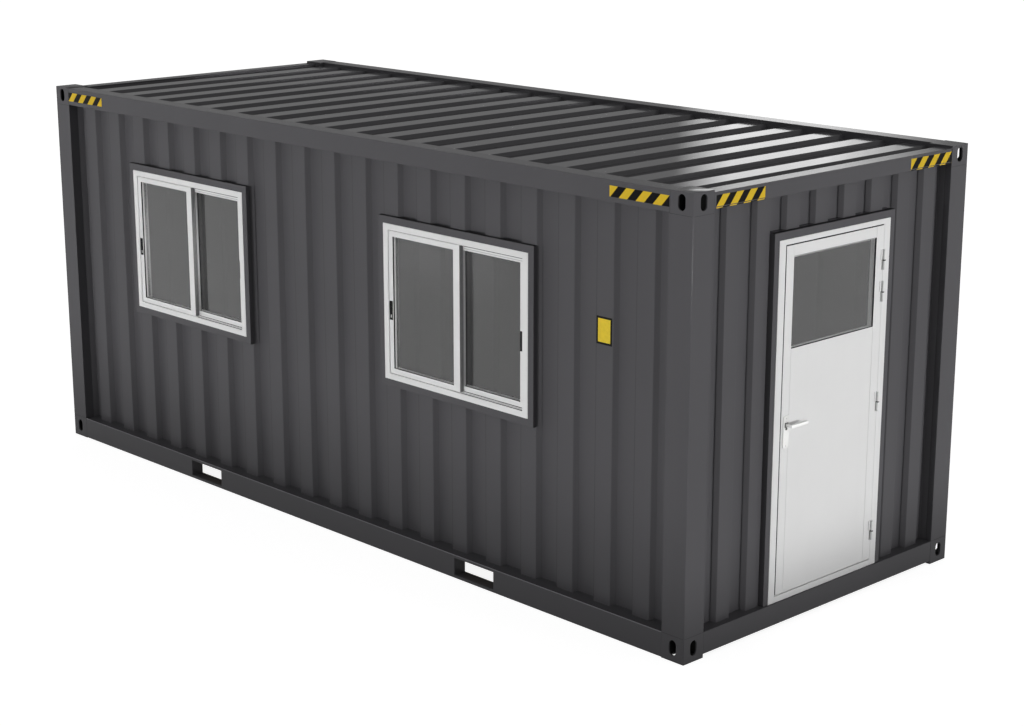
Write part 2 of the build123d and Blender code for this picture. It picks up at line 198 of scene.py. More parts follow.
@dataclass(frozen=True)
class SteelPaint:
    """Satin paint on steel, with peel, soft patches and faint rain streaks."""

    name: str
    colour: Colour
    roughness: float = 0.34
    gloss: float = 0.07
    peel: float = 0.00005
    streaks: float = 0.05
    rib_pitch: float = 0.0
    rib_start: float = 0.0
    # Width of the painted shade line at each rib's edge, where the crease lies in shade.
    rib_shade_line: float = 0.008

    def material(self) -> Material:
        """Build the paint's material, with a thin painted shade line at each rib's edge where a pitch is given."""
        tree = ShaderTree(self.name)
        patches = tree.noise(1.7, detail=4)
        runs = tree.noise(9.0, (1, 1, 0.06), detail=5)
        grit = tree.noise(420.0, detail=2)
        shade = tree.shades(tree.span(patches, 0.3, 0.7, 0, 1), self.colour, 0.975, 1.025)
        shade = tree.blend(tree.span(runs, 0.45, 0.8, 0, self.streaks), shade, tint(self.colour, 1.35))
        shade = tree.blend(tree.span(grit, 0.35, 0.7, 0, 0.22), shade, tint(self.colour, 0.86))
        # Painted shade: a darker line at one edge of every rib, standing in for the shade in the crease.
        if self.rib_pitch:
            along = tree.add("SeparateXYZ", {0: tree.coordinates}).outputs["X"]
            turn = tree.maths("DIVIDE", tree.maths("SUBTRACT", along, self.rib_start), self.rib_pitch)
            line = tree.maths("LESS_THAN", tree.maths("FRACT", turn), self.rib_shade_line / self.rib_pitch)
            shade = tree.blend(tree.maths("MULTIPLY", line, 0.4), shade, tint(self.colour, 0.3))
        dull = tree.span(patches, 0.3, 0.7, 0.92 * self.roughness, 1.08 * self.roughness)
        dull = tree.maths("ADD", tree.span(runs, 0.4, 0.8, 0, 0.1 * self.roughness), dull)
        peel = tree.noise(160.0, detail=2, rough=0.4)
        return tree.finish({
            "Base Color": shade,
            "Roughness": dull,
            "Specular IOR Level": self.gloss,
            "Normal": tree.bump(peel, self.peel),
        })


@dataclass(frozen=True)
class PowderCoat:
    """Pale powder coat with a fine texture and a trace of handling marks."""

    name: str
    colour: Colour
    roughness: float = 0.38

    def material(self) -> Material:
        """Build the coat's material."""
        tree = ShaderTree(self.name)
        cloud = tree.noise(2.3, detail=3)
        rain = tree.noise(26.0, (1, 1, 0.05), detail=4)
        shade = tree.shades(tree.span(cloud, 0.3, 0.7, 0, 1), self.colour, 0.985, 1.012)
        shade = tree.blend(tree.span(rain, 0.52, 0.85, 0, 0.05), shade, tint(self.colour, 0.8))
        dull = tree.maths("ADD", tree.span(cloud, 0.3, 0.7, -0.04, 0.04), self.roughness)
        return tree.finish({
            "Base Color": shade,
            "Roughness": dull,
            "Specular IOR Level": 0.4,
            "Normal": tree.bump(tree.noise(700.0, detail=1), 0.00005),
        })


@dataclass(frozen=True)
class PaneGlass:
    """Grey float glass with a faint uneven film."""

    name: str
    colour: Colour
    clear: float = 0.965
    index: float = 1.36

    def material(self) -> Material:
        """Build the glass, which lets lamp light through without a shadow."""
        tree = ShaderTree(self.name)
        film = tree.noise(1.3, (1, 1, 0.3), detail=3)
        shade = tree.shades(film, self.colour, 0.96, 1.04)
        sheet = tree.add("BsdfPrincipled", {
            "Base Color": shade, "Roughness": 0.0, "IOR": self.index, "Transmission Weight": self.clear,
        })
        gap = tree.add("BsdfTransparent", {"Color": (*tint(self.colour, 1.1), 1)})
        shadow = tree.add("LightPath").outputs["Is Shadow Ray"]
        return tree.close(tree.add("MixShader", {0: shadow, 1: sheet.outputs[0], 2: gap.outputs[0]}))


@dataclass(frozen=True)
class Moulding:
    """Moulded plastic or rubber with a fine matt grain."""

    name: str
    colour: Colour
    roughness: float = 0.5
    gloss: float = 0.06
    grain: float = 0.00004

    def material(self) -> Material:
        """Build the moulding's material."""
        tree = ShaderTree(self.name)
        patches = tree.noise(40.0, detail=3)
        shade = tree.shades(patches, self.colour, 0.85, 1.15)
        return tree.finish({
            "Base Color": shade,
            "Roughness": tree.span(patches, 0.2, 0.8, self.roughness - 0.06, self.roughness + 0.06),
            "Specular IOR Level": self.gloss,
            "Normal": tree.bump(tree.noise(900.0, detail=1), self.grain),
        })


@dataclass(frozen=True)
class SatinMetal:
    """Brushed metal, its lines along one axis."""

    name: str
    colour: Colour
    roughness: float = 0.32
    stretch: Colour = (1, 0.03, 1)

    def material(self) -> Material:
        """Build the metal."""
        tree = ShaderTree(self.name)
        lines = tree.noise(900.0, self.stretch, detail=2)
        shade = tree.shades(lines, self.colour, 0.9, 1.08)
        return tree.finish({
            "Base Color": shade,
            "Metallic": 1.0,
            "Roughness": tree.span(lines, 0.2, 0.8, self.roughness - 0.06, self.roughness + 0.08),
            "Normal": tree.bump(lines, 0.00003),
        })


@dataclass(frozen=True)
class FloorBoard:
    """Sealed plywood with grain along the cabin and a scuffed, dusty top."""

    name: str
    pale: Colour
    dark: Colour

    def material(self) -> Material:
        """Build the plywood."""
        tree = ShaderTree(self.name)
        warp = tree.noise(1.5, (0.3, 1, 1), detail=2)
        grain = tree.noise(38.0, (0.05, 1, 1), detail=6, rough=0.65)
        rings = tree.maths("FRACT", tree.maths("ADD", tree.maths("MULTIPLY", warp, 9.0), grain))
        shade = tree.blend(tree.span(rings, 0.1, 0.95, 0, 1), self.pale, self.dark)
        scuff = tree.noise(5.0, detail=5)
        shade = tree.blend(tree.span(scuff, 0.5, 0.8, 0, 0.35), shade, tint(self.dark, 0.55))
        return tree.finish({
            "Base Color": shade,
            "Roughness": tree.span(grain, 0.2, 0.8, 0.5, 0.7),
            "Specular IOR Level": 0.3,
            "Normal": tree.bump(grain, 0.0004),
        })


@dataclass(frozen=True)
class StripeFilm:
    """Warning film with slanted stripes, set out along one axis from one end."""

    name: str
    axis: str
    origin: float
    base: float
    period: float
    yellow: Colour
    black: Colour
    lean_share: float = 0.45
    rise: float = 0.06

    def material(self) -> Material:
        """Build the film."""
        tree = ShaderTree(self.name)
        parts = tree.add("SeparateXYZ", {0: tree.coordinates}).outputs
        along = tree.maths("SUBTRACT", parts[self.axis], self.origin)
        up = tree.maths("SUBTRACT", parts["Z"], self.base)
        lean = self.period * self.lean_share / self.rise
        slide = tree.maths("SUBTRACT", along, tree.maths("MULTIPLY", up, lean))
        turn = tree.maths("FRACT", tree.maths("DIVIDE", slide, self.period))
        bar = tree.maths("LESS_THAN", turn, 0.5)
        cloud = tree.noise(60.0, detail=3)
        yellow = tree.shades(cloud, self.yellow, 0.93, 1.06)
        black = tree.shades(cloud, self.black, 0.8, 1.3)
        return tree.finish({
            "Base Color": tree.blend(bar, black, yellow),
            "Roughness": tree.span(cloud, 0.2, 0.8, 0.36, 0.46),
            "Specular IOR Level": 0.05,
            "Normal": tree.bump(tree.noise(300.0, detail=1), 0.00002),
        })


class Finishes:
    """All finishes of the cabin, built once."""

    def __init__(self) -> None:
        """Build every material."""
        grey: Colour = (0.0800, 0.0782, 0.0838)
        white: Colour = (0.70, 0.70, 0.70)
        self.frame = SteelPaint("frame_paint", grey, 0.16, 0.08, 0.00001).material()
        self.wall = SteelPaint("wall_paint", grey, streaks=0.07).material()
        # The window wall's paint carries painted shade lines at the rib edges.
        self.window_wall = SteelPaint(
            "window_wall_paint_with_shade_lines", grey, streaks=0.07, rib_pitch=0.2972, rib_start=-0.0975
        ).material()
        self.roof = SteelPaint("roof_paint", grey, 0.10, 0.13, 0.000004).material()
        self.seam = SteelPaint("seam_paint", tint(grey, 0.35), gloss=0.04).material()
        # Lighter paint for the painted highlight along the lower rails' upper edge.
        self.painted_highlight = SteelPaint("painted_highlight_paint", tint(grey, 3.4)).material()
        self.white = PowderCoat("white_coat", white).material()
        self.glass = PaneGlass("grey_glass", (0.72, 0.72, 0.72)).material()
        self.plywood = FloorBoard("floor_ply", (0.36, 0.24, 0.14), (0.22, 0.13, 0.07)).material()
        # Black and rubber serve real parts and also dark plates and strips of painted shade.
        self.black = Moulding("black_moulding_and_painted_shade", (0.006, 0.006, 0.006)).material()
        self.rubber = Moulding("seal_rubber_and_painted_shade", (0.014, 0.014, 0.015), 0.65).material()
        self.slider = Moulding("slider_grey", (0.45, 0.45, 0.45), 0.4).material()
        # Mid grey for strips of painted shade: the meeting stile's side face and the gap under the head lip.
        self.painted_shade = Moulding("painted_shade_grey", (0.30, 0.30, 0.30), 0.8).material()
        self.metal = SatinMetal("satin_metal", (0.84, 0.84, 0.83), 0.36).material()
        self.dull = SatinMetal("dull_metal", (0.70, 0.70, 0.69), 0.40, (1, 1, 0.03)).material()
        self.zinc = SatinMetal("zinc_screws", (0.55, 0.55, 0.54), 0.4, (1, 1, 1)).material()
        self.yellow_plate = Moulding("yellow_film", (0.67, 0.50, 0.042), 0.42).material()


def about(middle: float, half: float) -> Span:
    """Limits at equal distances from a middle."""
    return middle - half, middle + half


def ordered(first: float, second: float) -> Span:
    """Two limits, the lower one first."""
    return min(first, second), max(first, second)


def painted_top_shade(along: Span, top: float, out: Span) -> tuple[Span, Span, Span]:
    """Limits of a dark strip of painted shade on the top face of a surround, drawn in at its ends and its front.
    """
    inset, rise, setback = 0.003, 0.0008, 0.004
    return (along[0] + inset, along[1] - inset), (top, top + rise), (out[0], out[1] - setback)


def show(name: str, data: bpy.types.ID) -> bpy.types.Object:
    """Make an object of a mesh, lamp or camera and put it into the scene."""
    made = bpy.data.objects.new(name, data)
    bpy.context.scene.collection.objects.link(made)
    return made


def join(tree: bpy.types.NodeTree, links: Iterable[tuple[Any, Any, Any, Any]]) -> None:
    """Link outputs to inputs, each as (node, output, node, input)."""
    for source, output, target, socket in links:
        tree.links.new(source.outputs[output], target.inputs[socket])


def flatten(piece: bpy.types.Object) -> bpy.types.Mesh:
    """Take what a piece's modifiers make as a plain mesh, and clear them."""
    graph = bpy.context.evaluated_depsgraph_get()
    mesh = bpy.data.meshes.new_from_object(piece.evaluated_get(graph), depsgraph=graph)
    piece.modifiers.clear()
    return mesh


def settle(piece: bpy.types.Object, body: Body, replaced: Iterable[str] = ()) -> None:
    """Hand a finished piece to the frame.

    Args:
        piece: The finished object.
        body: Body that it rides on.
        replaced: CAD nodes that it stands for.
    """
    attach(piece, body.value)
    nodes = tuple(replaced)
    if nodes:
        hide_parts(*nodes)
    LOG.info("%s rides on %s with %d faces", piece.name, body.value, len(piece.data.polygons))


class Shape:
    """Mesh under construction, in the shared frame."""

    def __init__(self, face: Face = Face.WINDOW_SIDE) -> None:
        """Start an empty mesh whose places are given on one face."""
        self.mesh = bmesh.new()
        self.face = face

    def loops(self, rings: Sequence[Sequence[Vector]], closed: bool = True, slot: int = 0) -> None:
        """Skin a run of equal rings with quads.

        Args:
            rings: Rings of points, each closed on itself.
            closed: Whether the last ring joins the first, or the ends get caps.
            slot: Material index of the faces.
        """
        made = [[self.mesh.verts.new(point) for point in ring] for ring in rings]
        followers = made[1:] + made[:1] if closed else made[1:]
        for first, second in zip(made, followers):
            for index, vertex in enumerate(first):
                after = (index + 1) % len(first)
                face = self.mesh.faces.new((vertex, first[after], second[after], second[index]))
                face.material_index = slot
        if not closed:
            for ring in (made[0][::-1], made[-1]):
                self.mesh.faces.new(ring).material_index = slot

    def rectangle(self, along: Span, up: Span, inset: float, out: float) -> list[Vector]:
        """Corners of a rectangle on the face, drawn in on all sides by an inset."""
        left, right, base, top = along[0] + inset, along[1] - inset, up[0] + inset, up[1] - inset
        corners = ((left, base), (right, base), (right, top), (left, top))
        return [self.face.place(place, level, out) for place, level in corners]

    def ring(self, along: Span, up: Span, section: Sequence[Span], slot: int = 0) -> None:
        """Make a mitred frame round a rectangle.

        Args:
            along: Outer limits along the face.
            up: Outer limits in height.
            section: Closed section as (inset from the outer edge, out) points.
            slot: Material index of the faces.
        """
        self.loops([self.rectangle(along, up, inset, out) for inset, out in section], True, slot)

    def plate(self, along: Span, up: Span, out: Span, edge: float = 0.0, slot: int = 0) -> None:
        """Make a flat plate, with its front edge broken by a chamfer.

        Args:
            along: Limits along the face.
            up: Limits in height.
            out: Back and front levels.
            edge: Chamfer of the front edge.
            slot: Material index of the faces.
        """
        levels = [(0.0, out[0]), (0.0, out[1] - edge)]
        if edge:
            levels.append((edge, out[1]))
        self.loops([self.rectangle(along, up, inset, level) for inset, level in levels], False, slot)

    def turned(self, along: float, up: float, profile: Sequence[Span], sides: int, slot: int = 0) -> None:
        """Make a turned piece whose axis points out of the face.

        Args:
            along: Place of the axis along the face.
            up: Height of the axis.
            profile: Points as (radius, out), from the back to the front.
            sides: Number of sides.
            slot: Material index of the faces.
        """
        turns = [math.tau * step / sides for step in range(sides)]
        self.loops([
            [self.face.place(along + radius * math.cos(t), up + radius * math.sin(t), out) for t in turns]
            for radius, out in profile
        ], False, slot)

    def fix(self, name: str, materials: Sequence[Material], slot: Slot, body: Body = Body.CABIN) -> None:
        """Close the mesh, make it a piece at the origin and hand it to the frame.

        Args:
            name: Name of the piece.
            materials: Materials by index.
            slot: Material slot that it belongs to; not used.
            body: Body that it rides on.
        """
        bmesh.ops.remove_doubles(self.mesh, verts=self.mesh.verts, dist=MERGE)
        bmesh.ops.recalc_face_normals(self.mesh, faces=self.mesh.faces)
        data = bpy.data.meshes.new(name)
        self.mesh.to_mesh(data)
        self.mesh.free()
        for material in materials:
            data.materials.append(material)
        settle(show(name, data), body)


class GeometryTree:
    """Geometry Nodes tree with named inputs, which ends in realized and painted geometry."""

    def __init__(self, name: str, kinds: dict[str, str]) -> None:
        """Build both ends of the tree.

        Args:
            name: Name of the tree.
            kinds: Socket type of every named input.
        """
        self.tree = bpy.data.node_groups.new(name, "GeometryNodeTree")
        face = self.tree.interface
        face.new_socket("Layout", in_out="INPUT", socket_type="NodeSocketGeometry")
        self.sockets = {
            socket: face.new_socket(socket, in_out="INPUT", socket_type="NodeSocket" + kind).identifier
            for socket, kind in {**kinds, "Finish": "Material"}.items()
        }
        face.new_socket("Made", in_out="OUTPUT", socket_type="NodeSocketGeometry")
        self.start, end = self.add("NodeGroupInput"), self.add("NodeGroupOutput")
        self.realize, paint = self.add("GeometryNodeRealizeInstances"), self.add("GeometryNodeSetMaterial")
        join(self.tree, (
            (self.realize, 0, paint, "Geometry"),
            (self.start, "Finish", paint, "Material"),
            (paint, 0, end, 0),
        ))

    def add(self, kind: str) -> bpy.types.Node:
        """Add a node of one type."""
        return self.tree.nodes.new(kind)

    def grow(
        self, name: str, points: Sequence[Vector], edges: Sequence[tuple[int, int]], values: dict[str, Any]
    ) -> bpy.types.Mesh:
        """Run the tree on a layout.

        Args:
            name: Name of the mesh.
            points: Points of the layout.
            edges: Edges between them.
            values: Value of every named input.

        Returns:
            A plain mesh.
        """
        data = bpy.data.meshes.new(name + "_layout")
        data.from_pydata([tuple(point) for point in points], edges, [])
        carrier = show(name + "_layout", data)
        modifier = carrier.modifiers.new("tree", "NODES")
        modifier.node_group = self.tree
        for socket, value in values.items():
            modifier[self.sockets[socket]] = value
        carrier.update_tag()
        mesh = flatten(carrier)
        bpy.data.objects.remove(carrier)
        mesh.name = name
        return mesh


class BendTree(GeometryTree):
    """Tree that bends a flat sheet along a path of corners."""

    def __init__(self) -> None:
        """Build the tree between its ends."""
        super().__init__("bent_sheet", {"Bend radius": "Float", "Bend steps": "Int", "Run": "Vector"})
        curve, fillet = self.add("GeometryNodeMeshToCurve"), self.add("GeometryNodeFilletCurve")
        line, extrude = self.add("GeometryNodeCurveToMesh"), self.add("GeometryNodeExtrudeMesh")
        fillet.mode, extrude.mode = "POLY", "EDGES"
        fillet.inputs["Limit Radius"].default_value = True
        join(self.tree, (
            (self.start, "Layout", curve, "Mesh"),
            (curve, 0, fillet, "Curve"),
            (self.start, "Bend radius", fillet, "Radius"),
            (self.start, "Bend steps", fillet, "Count"),
            (fillet, 0, line, "Curve"),
            (line, 0, extrude, "Mesh"),
            (self.start, "Run", extrude, "Offset"),
            (extrude, "Mesh", self.realize, 0),
        ))


class ScrewTree(GeometryTree):
    """Tree that sets a screw head on every point of a layout."""

    def __init__(self, sides: int = 10, taper: float = 0.7, seed: int = 7) -> None:
        """Build the tree between its ends.

        Args:
            sides: Number of sides of a head.
            taper: Share of the radius that is left at the top.
            seed: Seed of the turn of each head.
        """
        super().__init__("screw_heads", {"Radius": "Float", "Height": "Float"})
        head, points = self.add("GeometryNodeMeshCone"), self.add("GeometryNodeMeshToPoints")
        scale, place = self.add("ShaderNodeMath"), self.add("GeometryNodeInstanceOnPoints")
        spin, turn = self.add("FunctionNodeRandomValue"), self.add("ShaderNodeCombineXYZ")
        head.inputs["Vertices"].default_value = sides
        scale.operation = "MULTIPLY"
        scale.inputs[1].default_value = taper
        spin.inputs["Max"].default_value = math.tau
        spin.inputs["Seed"].default_value = seed
        join(self.tree, (
            (self.start, "Radius", head, "Radius Bottom"),
            (self.start, "Radius", scale, 0),
            (scale, 0, head, "Radius Top"),
            (self.start, "Height", head, "Depth"),
            (self.start, "Layout", points, 0),
            (points, 0, place, "Points"),
            (head, "Mesh", place, "Instance"),
            (spin, "Value", turn, "Z"),
            (turn, 0, place, "Rotation"),
            (place, 0, self.realize, 0),
        ))


@dataclass
class Opening:
    """Rectangular hole through a sheet, by two of the frame's axes."""

    axes: tuple[int, int]
    low: Span
    high: Span

    def cut(self, mesh: bmesh.types.BMesh) -> None:
        """Cut the hole through a mesh."""
        for axis, *levels in zip(self.axes, self.low, self.high):
            normal = Vector((0, 0, 0))
            normal[axis] = 1
            for level in levels:
                every = [*mesh.verts, *mesh.edges, *mesh.faces]
                bmesh.ops.bisect_plane(mesh, geom=every, dist=MERGE, plane_co=normal * level, plane_no=normal)
        inside = [face for face in mesh.faces if self.holds(face.calc_center_median())]
        bmesh.ops.delete(mesh, geom=inside, context="FACES")

    def holds(self, point: Vector) -> bool:
        """Tell whether a point lies in the hole."""
        return all(low < point[axis] < high for axis, low, high in zip(self.axes, self.low, self.high))


@dataclass
class RibbedSheet:
    """One corrugated wall or roof sheet, bent along its ribs."""

    name: str
    nodes: tuple[str, ...]
    span: float
    pitch: float
    flat: float
    slope: float
    depth: float
    shift: float
    place: Callable[[float, float], Vector]
    run: Vector
    outward: Vector
    finish: Material
    openings: list[Opening] = field(default_factory=list)
    gauge: float = 0.002
    radius: float = 0.004
    bend_steps: int = 3
    lean: float = 1.05
    end_lean: float = 0.38
    margin: float = 0.012

    def path(self) -> list[Vector]:
        """Corners of the outer face, from one end's upstand to the other's."""
        edge, half = self.span / 2 - self.gauge, self.flat / 2
        foot = half + self.slope
        corners = [(-edge, 0.0), (-edge, self.depth)]
        count = int(self.span // self.pitch)
        for number in range(count):
            centre = self.pitch * (number - (count - 1) / 2) + self.shift
            corners += [(centre - foot, self.depth), (centre - half, 0.0)]
            corners += [(centre + half, 0.0), (centre + foot, self.depth)]
        corners += [(edge, self.depth), (edge, 0.0)]
        return [self.place(along, level) for along, level in corners]

    def build(self, bender: BendTree) -> bpy.types.Object:
        """Bend, pierce and thicken the sheet.

        Args:
            bender: Tree that bends the sheet.

        Returns:
            The finished sheet.
        """
        path = self.path()
        data = bender.grow(self.name, path, [(i, i + 1) for i in range(len(path) - 1)], {
            "Bend radius": self.radius,
            "Bend steps": self.bend_steps,
            "Run": tuple(self.run),
            "Finish": self.finish,
        })
        work = bmesh.new()
        work.from_mesh(data)
        bmesh.ops.remove_doubles(work, verts=work.verts, dist=MERGE)
        for opening in self.openings:
            opening.cut(work)
        if sum((face.normal.dot(self.outward) * face.calc_area() for face in work.faces), 0.0) < 0:
            bmesh.ops.reverse_faces(work, faces=work.faces)
        single = len(work.faces)
        work.to_mesh(data)
        work.free()
        sheet = show(self.name, data)
        thick = sheet.modifiers.new("gauge", "SOLIDIFY")
        thick.thickness = self.gauge
        thick.offset = -1
        thick.use_even_offset = True
        sheet.data = flatten(sheet)
        self.soften(sheet.data, single)
        return sheet

    def soften(self, mesh: bpy.types.Mesh, single: int) -> None:
        """Shade the bends as one soft form, each web turned to the open side, the end upstands less.

        Args:
            mesh: The thickened sheet, its outer faces first, then its inner ones, then the rims.
            single: Number of faces in one skin.
        """
        rims = len(mesh.polygons) - 2 * single
        skins = [1] * single + [-1] * single + [0] * rims
        sums = [Vector((0, 0, 0)) for _ in mesh.vertices]
        for polygon, skin in zip(mesh.polygons, skins):
            polygon.use_smooth = True
            if skin:
                for vertex in polygon.vertices:
                    sums[vertex] += polygon.normal * polygon.area
        across = self.outward.cross(self.run).normalized()
        places = [abs(vertex.co.dot(across)) for vertex in mesh.vertices]
        reach = max(places) - self.margin
        leans = [self.outward * (self.lean if place < reach else self.end_lean) for place in places]
        normals = []
        for polygon, skin in zip(mesh.polygons, skins):
            for vertex in polygon.vertices:
                if skin:
                    normals.append((sums[vertex].normalized() + skin * leans[vertex]).normalized())
                else:
                    normals.append(polygon.normal.copy())
        mesh.normals_split_custom_set(normals)


def dress(names: Iterable[str], material: Material, edge: float = 0.0) -> None:
    """Give CAD nodes a finish, and break their edges.

    Args:
        names: Nodes to dress.
        material: Finish of every node.
        edge: Width of the broken edges, none at 0.
    """
    for name in names:
        node = NODES[name]
        node.data.materials.clear()
        node.data.materials.append(material)
        if edge:
            weld = node.modifiers.new("join", "WELD")
            weld.merge_threshold = 1e-5
            plain = node.modifiers.new("plain", "DECIMATE")
            plain.decimate_type = "DISSOLVE"
            plain.angle_limit = math.radians(0.5)
            bevel = node.modifiers.new("edge", "BEVEL")
            bevel.width = edge
            bevel.segments = 2
            bevel.limit_method = "ANGLE"
            bevel.angle_limit = math.radians(40)
        LOG.info("%s dressed in %s", name, material.name)


@dataclass
class Walls:
    """Corrugated sheets of the four walls and the roof, each with pitch, flat, slope, depth and shift."""

    finishes: Finishes
    sleeve: float = 0.020
    side: tuple[float, ...] = (0.2972, 0.131, 0.003, 0.046, -0.031)
    end: tuple[float, ...] = (0.2504, 0.111, 0.003, 0.042, 0.026)
    top: tuple[float, ...] = (0.3047, 0.138, 0.012, 0.025, 0.0)
    end_wall_lean: float = 1.1
    roof_bend: float = 0.003
    beyond: float = 1.0

    def build(self) -> None:
        """Bend and hand over every sheet."""
        bender = BendTree()
        for sheet in (*self.long_walls(), *self.end_walls(), self.roof()):
            settle(sheet.build(bender), Body.CABIN, sheet.nodes)

    def long_walls(self) -> list[RibbedSheet]:
        """The window wall, with its two holes, and the plain wall behind it."""
        low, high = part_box("rear_wall")
        face, base, rise = high.y, low.z, Vector((0, 0, high.z - low.z))
        holes, gap = [], self.sleeve
        for name in ("window_left_frame", "window_right_frame"):
            inner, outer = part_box(name)
            holes.append(Opening((0, 2), (inner.x - gap, inner.z - gap), (outer.x + gap, outer.z + gap)))
        parts = ("left", "middle", "right", "over_windows", "under_windows")
        span = high.x - low.x
        front = RibbedSheet(
            "window_wall_sheet", tuple("front_wall_" + part for part in parts), span, *self.side,
            lambda along, level: Vector((along, level - face, base)),
            rise, Vector((0, -1, 0)), self.finishes.window_wall, holes,
        )
        rear = RibbedSheet(
            "rear_wall_sheet", ("rear_wall",), span, *self.side,
            lambda along, level: Vector((-along, face - level, base)),
            rise, Vector((0, 1, 0)), self.finishes.wall,
        )
        return [front, rear]

    def end_walls(self) -> list[RibbedSheet]:
        """The door end's wall, with its doorway, and the blind end's wall."""
        low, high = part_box("blind_end_wall")
        face, base, rise = -low.x, low.z, Vector((0, 0, high.z - low.z))
        inner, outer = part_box("door_surround")
        doorway = Opening((1, 2), (inner.y, base - self.sleeve), (outer.y, outer.z))
        span = high.y - low.y
        door = RibbedSheet(
            "door_wall_sheet", ("door_wall_front", "door_wall_rear", "door_wall_over"), span, *self.end,
            lambda along, level: Vector((face - level, along, base)),
            rise, Vector((1, 0, 0)), self.finishes.wall, [doorway], lean=self.end_wall_lean,
        )
        blind = RibbedSheet(
            "blind_wall_sheet", ("blind_end_wall",), span, *self.end,
            lambda along, level: Vector((level - face, -along, base)),
            rise, Vector((-1, 0, 0)), self.finishes.wall, lean=self.end_wall_lean,
        )
        return [door, blind]

    def roof(self) -> RibbedSheet:
        """The roof sheet, notched round the corner fittings."""
        low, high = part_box("roof_panel")
        end, side = HALF_X - FITTING, HALF_Y - FITTING
        notches = []
        for x_span in ((-high.x - self.beyond, -end), (end, high.x + self.beyond)):
            for y_span in ((-high.y - self.beyond, -side), (side, high.y + self.beyond)):
                notches.append(Opening((0, 1), (x_span[0], y_span[0]), (x_span[1], y_span[1])))
        return RibbedSheet(
            "roof_sheet", ("roof_panel",), high.x - low.x, *self.top,
            lambda along, level: Vector((along, low.y, high.z - level)),
            Vector((0, high.y - low.y, 0)), Vector((0, 0, 1)), self.finishes.roof, notches, radius=self.roof_bend,
        )


@dataclass
class SteelFrame:
    """Corner fittings, posts, rails, headers, sills, pockets and floor."""

    finishes: Finishes
    rounding: float = 0.006
    seam: float = 0.001
    seam_rise: float = 0.0003
    seam_drop: float = 0.003
    header_seam: Span = (0.002, 0.0005)
    header_seam_rise: float = 0.03
    # Size of the painted highlight strip along the lower rails' upper edge.
    painted_highlight_out: Span = (0.004, 0.0004)
    painted_highlight_up: Span = (0.0026, 0.0004)
    painted_highlight_end: float = 0.002
    # Black plates inside the corner fittings: painted shade for their dark cavities.
    cavity: float = 0.071
    shade_plate: Span = (0.0005, 0.002)
    shade_plate_half: float = 0.068
    shade_plate_end: float = 0.012

    def build(self) -> None:
        """Dress the frame's own nodes and add its seams, painted edge highlights and painted shade plates."""
        paint = self.finishes.frame
        ends, sides = ("door_end", "blind_end"), ("front", "rear")
        dress(("top_corner_fittings", "bottom_corner_fittings"), paint, edge=0.003)
        dress([f"{end}_{side}_post" for end in ends for side in sides], paint, edge=0.003)
        dress([f"{side}_{level}_rail" for side in sides for level in ("top", "bottom")], paint, edge=0.0025)
        dress([f"{end}_{bar}" for end in ends for bar in ("header", "sill")], paint, edge=0.0025)
        dress(("fork_pockets", "cross_members"), paint, edge=0.001)
        dress(("floor",), self.finishes.plywood, edge=0.001)
        self.shade_plates()
        self.painted_highlight_edges()
        self.seams()

    def seams(self) -> None:
        """Mark the welded seams between the corner fittings and what meets them."""
        top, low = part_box("top_corner_fittings")[0].z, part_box("bottom_corner_fittings")[1].z
        rail, header = (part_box(bar)[1].z - self.seam_drop for bar in ("front_top_rail", "door_end_header"))
        side, end = Shape(), Shape(Face.DOOR_END)
        for way in (-1, 1):
            for shape, reach, face in ((side, HALF_X, HALF_Y), (end, HALF_Y, HALF_X)):
                along = ordered(way * (reach - FITTING), way * (reach - self.rounding))
                for level in (top, low):
                    shape.plate(along, about(level, self.seam), (face, face + self.seam_rise))
            along = about(way * (HALF_X - FITTING), self.seam)
            side.plate(along, (top, rail), (HALF_Y, HALF_Y + self.seam_rise))
            along, (back, front) = about(way * (HALF_Y - FITTING), self.seam), self.header_seam
            end.plate(along, (top + self.header_seam_rise, header), (HALF_X - back, HALF_X - front))
        side.fix("window_side_seams", [self.finishes.seam], Slot.FRAME)
        end.fix("door_end_seams", [self.finishes.seam], Slot.FRAME)

    def painted_highlight_edges(self) -> None:
        """Paint a lighter strip along the upper edge of both lower rails: a painted highlight where light catches
        the arris.
        """
        low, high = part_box("front_bottom_rail")
        along = (low.x + self.painted_highlight_end, high.x - self.painted_highlight_end)
        up = (high.z - self.painted_highlight_up[0], high.z + self.painted_highlight_up[1])
        depth, proud = self.painted_highlight_out
        # Painted highlight: a lighter strip on the arris of each lower rail, where light catches it.
        painted_highlight = Shape()
        for out in ((-low.y - depth, -low.y + proud), (-HALF_Y - proud, -HALF_Y + depth)):
            painted_highlight.plate(along, up, out)
        painted_highlight.fix("rail_painted_highlight_edges", [self.finishes.painted_highlight], Slot.FRAME)

    def lined(self, middle: float, way: int) -> Span:
        """Levels of a painted shade plate on one inner wall of a fitting."""
        return ordered(*(middle + way * (self.cavity - gap) for gap in self.shade_plate))

    def shade_plates(self) -> None:
        """Cover the blind inner walls of every corner fitting with black plates of painted shade, and back the end
        slots of the blind end the same way.
        """
        shape, mid_x, mid_y = Shape(), HALF_X - FITTING / 2, HALF_Y - FITTING / 2
        for node in ("bottom_corner_fittings", "top_corner_fittings"):
            low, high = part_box(node)
            up = (low.z + self.shade_plate_end, high.z - self.shade_plate_end)
            for way_x in (-1, 1):
                for way_y in (-1, 1):
                    x, out = way_x * mid_x, way_y * mid_y
                    across = about(out, self.shade_plate_half)
                    # Painted shade: black plates where the inside of each fitting lies in shade.
                    shape.plate(self.lined(x, -way_x), up, across)
                    shape.plate(about(x, self.shade_plate_half), up, self.lined(out, -way_y))
                    if way_x < 0:
                        shape.plate(self.lined(x, way_x), up, across)
        shape.fix("fitting_shade_plates", [self.finishes.black], Slot.FRAME)


